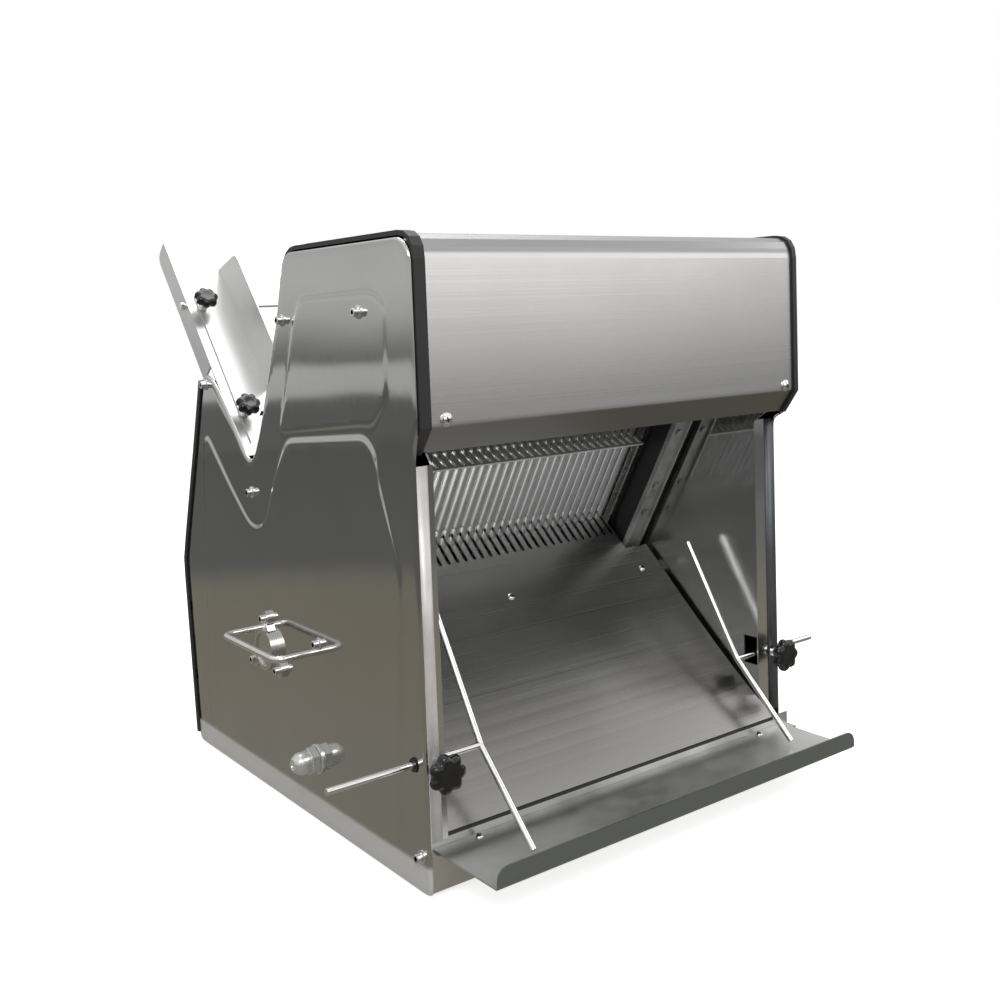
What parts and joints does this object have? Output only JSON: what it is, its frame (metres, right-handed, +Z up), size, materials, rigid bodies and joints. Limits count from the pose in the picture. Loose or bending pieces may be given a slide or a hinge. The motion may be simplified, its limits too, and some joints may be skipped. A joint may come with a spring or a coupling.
{
  "type": "electric bread slicer",
  "caption": "Bench-top electric bread slicer: loaf chute at the rear, reciprocating upright blade pack, slotted outfeed plate, crumb tray, adjustable rod guides and star knobs.",
  "frame": {"origin": "on the table, under the middle of the side panels", "axes": "+X to the operator's right, -Y towards the operator at the outfeed side, +Z up"},
  "size_m": [0.739, 0.7548, 0.6975],
  "materials": {
    "mirror_steel": "mirror polished",
    "steel": "fine brushed",
    "blade_steel": "ground and polished",
    "zinc_steel": "zinc plated",
    "chrome_bar": "polished",
    "black_rubber": "matt",
    "black_plastic": "satin",
    "dark_plastic": "satin",
    "grey_plastic": "satin",
    "green_plastic": "gloss",
    "red_plastic": "gloss",
    "cast_iron": "machined",
    "motor_paint": "painted",
    "galvanised": "galvanised sheet"
  },
  "bodies": {
    "machine": {"left_side_panel": "mirror_steel", "right_side_panel": "mirror_steel", "left_inner_wall": "mirror_steel", "right_inner_wall": "mirror_steel", "top_cover": "mirror_steel", "outfeed_plate": "mirror_steel", "infeed_chute": "mirror_steel", "tray": "mirror_steel", "front_apron": "mirror_steel", "upper_comb": "mirror_steel", "rear_cover": "steel", "head_rear_plate": "steel", "plate_cross_bar": "steel", "motor_mount": "steel", "chute_cross_rod": "steel", "guide_strips": "zinc_steel", "plate_screws": "zinc_steel", "tray_screws": "zinc_steel", "panel_screws": "zinc_steel", "cover_screws": "zinc_steel", "rod_clamp_left": "zinc_steel", "rod_clamp_right": "zinc_steel", "handle_left": "chrome_bar", "handle_right": "chrome_bar", "flange_bearing_left": "chrome_bar", "flange_bearing_right": "chrome_bar", "cover_trims": "black_rubber", "rear_trims": "black_rubber", "rubber_feet": "black_rubber", "plate_edge_seal": "black_rubber", "drive_belt": "black_rubber", "rod_bushings": "black_plastic", "switch_box": "black_plastic", "contact_block": "black_plastic", "frame_guide_left": "dark_plastic", "frame_guide_right": "dark_plastic", "cable_gland": "grey_plastic", "motor": "motor_paint", "base_pan": "galvanised"},
    "cutter_a": {"blade_frame_a": "steel", "blades_a": "blade_steel", "connecting_rod_a": "steel"},
    "cutter_b": {"blade_frame_b": "steel", "blades_b": "blade_steel", "connecting_rod_b": "steel"},
    "crank": {"crankshaft": "steel", "driven_pulley": "cast_iron"},
    "motor_drive": {"motor_pulley": "cast_iron"},
    "outfeed_left": {"outfeed_guide_left": "chrome_bar"},
    "outfeed_right": {"outfeed_guide_right": "chrome_bar"},
    "outfeed_left_knob": {"outfeed_knob_left": "black_plastic"},
    "outfeed_right_knob": {"outfeed_knob_right": "black_plastic"},
    "infeed_left": {"infeed_guide_left": "mirror_steel"},
    "infeed_right": {"infeed_guide_right": "mirror_steel"},
    "infeed_left_lower_knob": {"infeed_knob_left_lower": "black_plastic"},
    "infeed_left_upper_knob": {"infeed_knob_left_upper": "black_plastic"},
    "infeed_right_lower_knob": {"infeed_knob_right_lower": "black_plastic"},
    "infeed_right_upper_knob": {"infeed_knob_right_upper": "black_plastic"},
    "start": {"start_button": "green_plastic"},
    "stop": {"stop_button": "red_plastic"}
  },
  "joints": [
    {"name": "blades_a_stroke", "type": "slide", "parent": "machine", "child": "cutter_a", "axis": [0, -0.515, 0.8572], "range_m": [-0.01, 0.01]},
    {"name": "blades_b_stroke", "type": "slide", "parent": "machine", "child": "cutter_b", "axis": [0, -0.515, 0.8572], "range_m": [-0.01, 0.01]},
    {"name": "crank_turn", "type": "hinge", "parent": "machine", "child": "crank", "pos_m": [0, 0.047, 0.185], "axis": [1, 0, 0], "continuous": true},
    {"name": "motor_turn", "type": "hinge", "parent": "machine", "child": "motor_drive", "pos_m": [0, 0.17, 0.092], "axis": [1, 0, 0], "continuous": true},
    {"name": "outfeed_left_slide", "type": "slide", "parent": "machine", "child": "outfeed_left", "axis": [1, 0, 0], "range_m": [-0.018, 0.09]},
    {"name": "outfeed_right_slide", "type": "slide", "parent": "machine", "child": "outfeed_right", "axis": [-1, 0, 0], "range_m": [-0.018, 0.09]},
    {"name": "outfeed_left_knob_turn", "type": "hinge", "parent": "machine", "child": "outfeed_left_knob", "pos_m": [-0.2705, -0.315, 0.134], "axis": [0, -1, 0], "continuous": true},
    {"name": "outfeed_right_knob_turn", "type": "hinge", "parent": "machine", "child": "outfeed_right_knob", "pos_m": [0.2705, -0.284, 0.134], "axis": [0, -1, 0], "continuous": true},
    {"name": "infeed_left_slide", "type": "slide", "parent": "machine", "child": "infeed_left", "axis": [1, 0, 0], "range_m": [0, 0.12]},
    {"name": "infeed_right_slide", "type": "slide", "parent": "machine", "child": "infeed_right", "axis": [-1, 0, 0], "range_m": [0, 0.12]},
    {"name": "infeed_left_lower_knob_turn", "type": "hinge", "parent": "infeed_left", "child": "infeed_left_lower_knob", "pos_m": [-0.257, 0.14935, 0.46386], "axis": [0, -0.766, 0.6428], "continuous": true},
    {"name": "infeed_left_upper_knob_turn", "type": "hinge", "parent": "infeed_left", "child": "infeed_left_upper_knob", "pos_m": [-0.257, 0.2657, 0.60251], "axis": [0, -0.766, 0.6428], "continuous": true},
    {"name": "infeed_right_lower_knob_turn", "type": "hinge", "parent": "infeed_right", "child": "infeed_right_lower_knob", "pos_m": [0.257, 0.14935, 0.46386], "axis": [0, -0.766, 0.6428], "continuous": true},
    {"name": "infeed_right_upper_knob_turn", "type": "hinge", "parent": "infeed_right", "child": "infeed_right_upper_knob", "pos_m": [0.257, 0.2657, 0.60251], "axis": [0, -0.766, 0.6428], "continuous": true},
    {"name": "start_press", "type": "slide", "parent": "machine", "child": "start", "axis": [-1, 0, 0], "range_m": [0, 0.003], "stiffness_N_per_m": 400},
    {"name": "stop_press", "type": "slide", "parent": "machine", "child": "stop", "axis": [-1, 0, 0], "range_m": [0, 0.003], "stiffness_N_per_m": 400}
  ],
  "couplings": [
    {"joint": "blades_b_stroke", "follows": "blades_a_stroke", "ratio": -1},
    {"joint": "motor_turn", "follows": "crank_turn", "ratio": 2.9167}
  ]
}
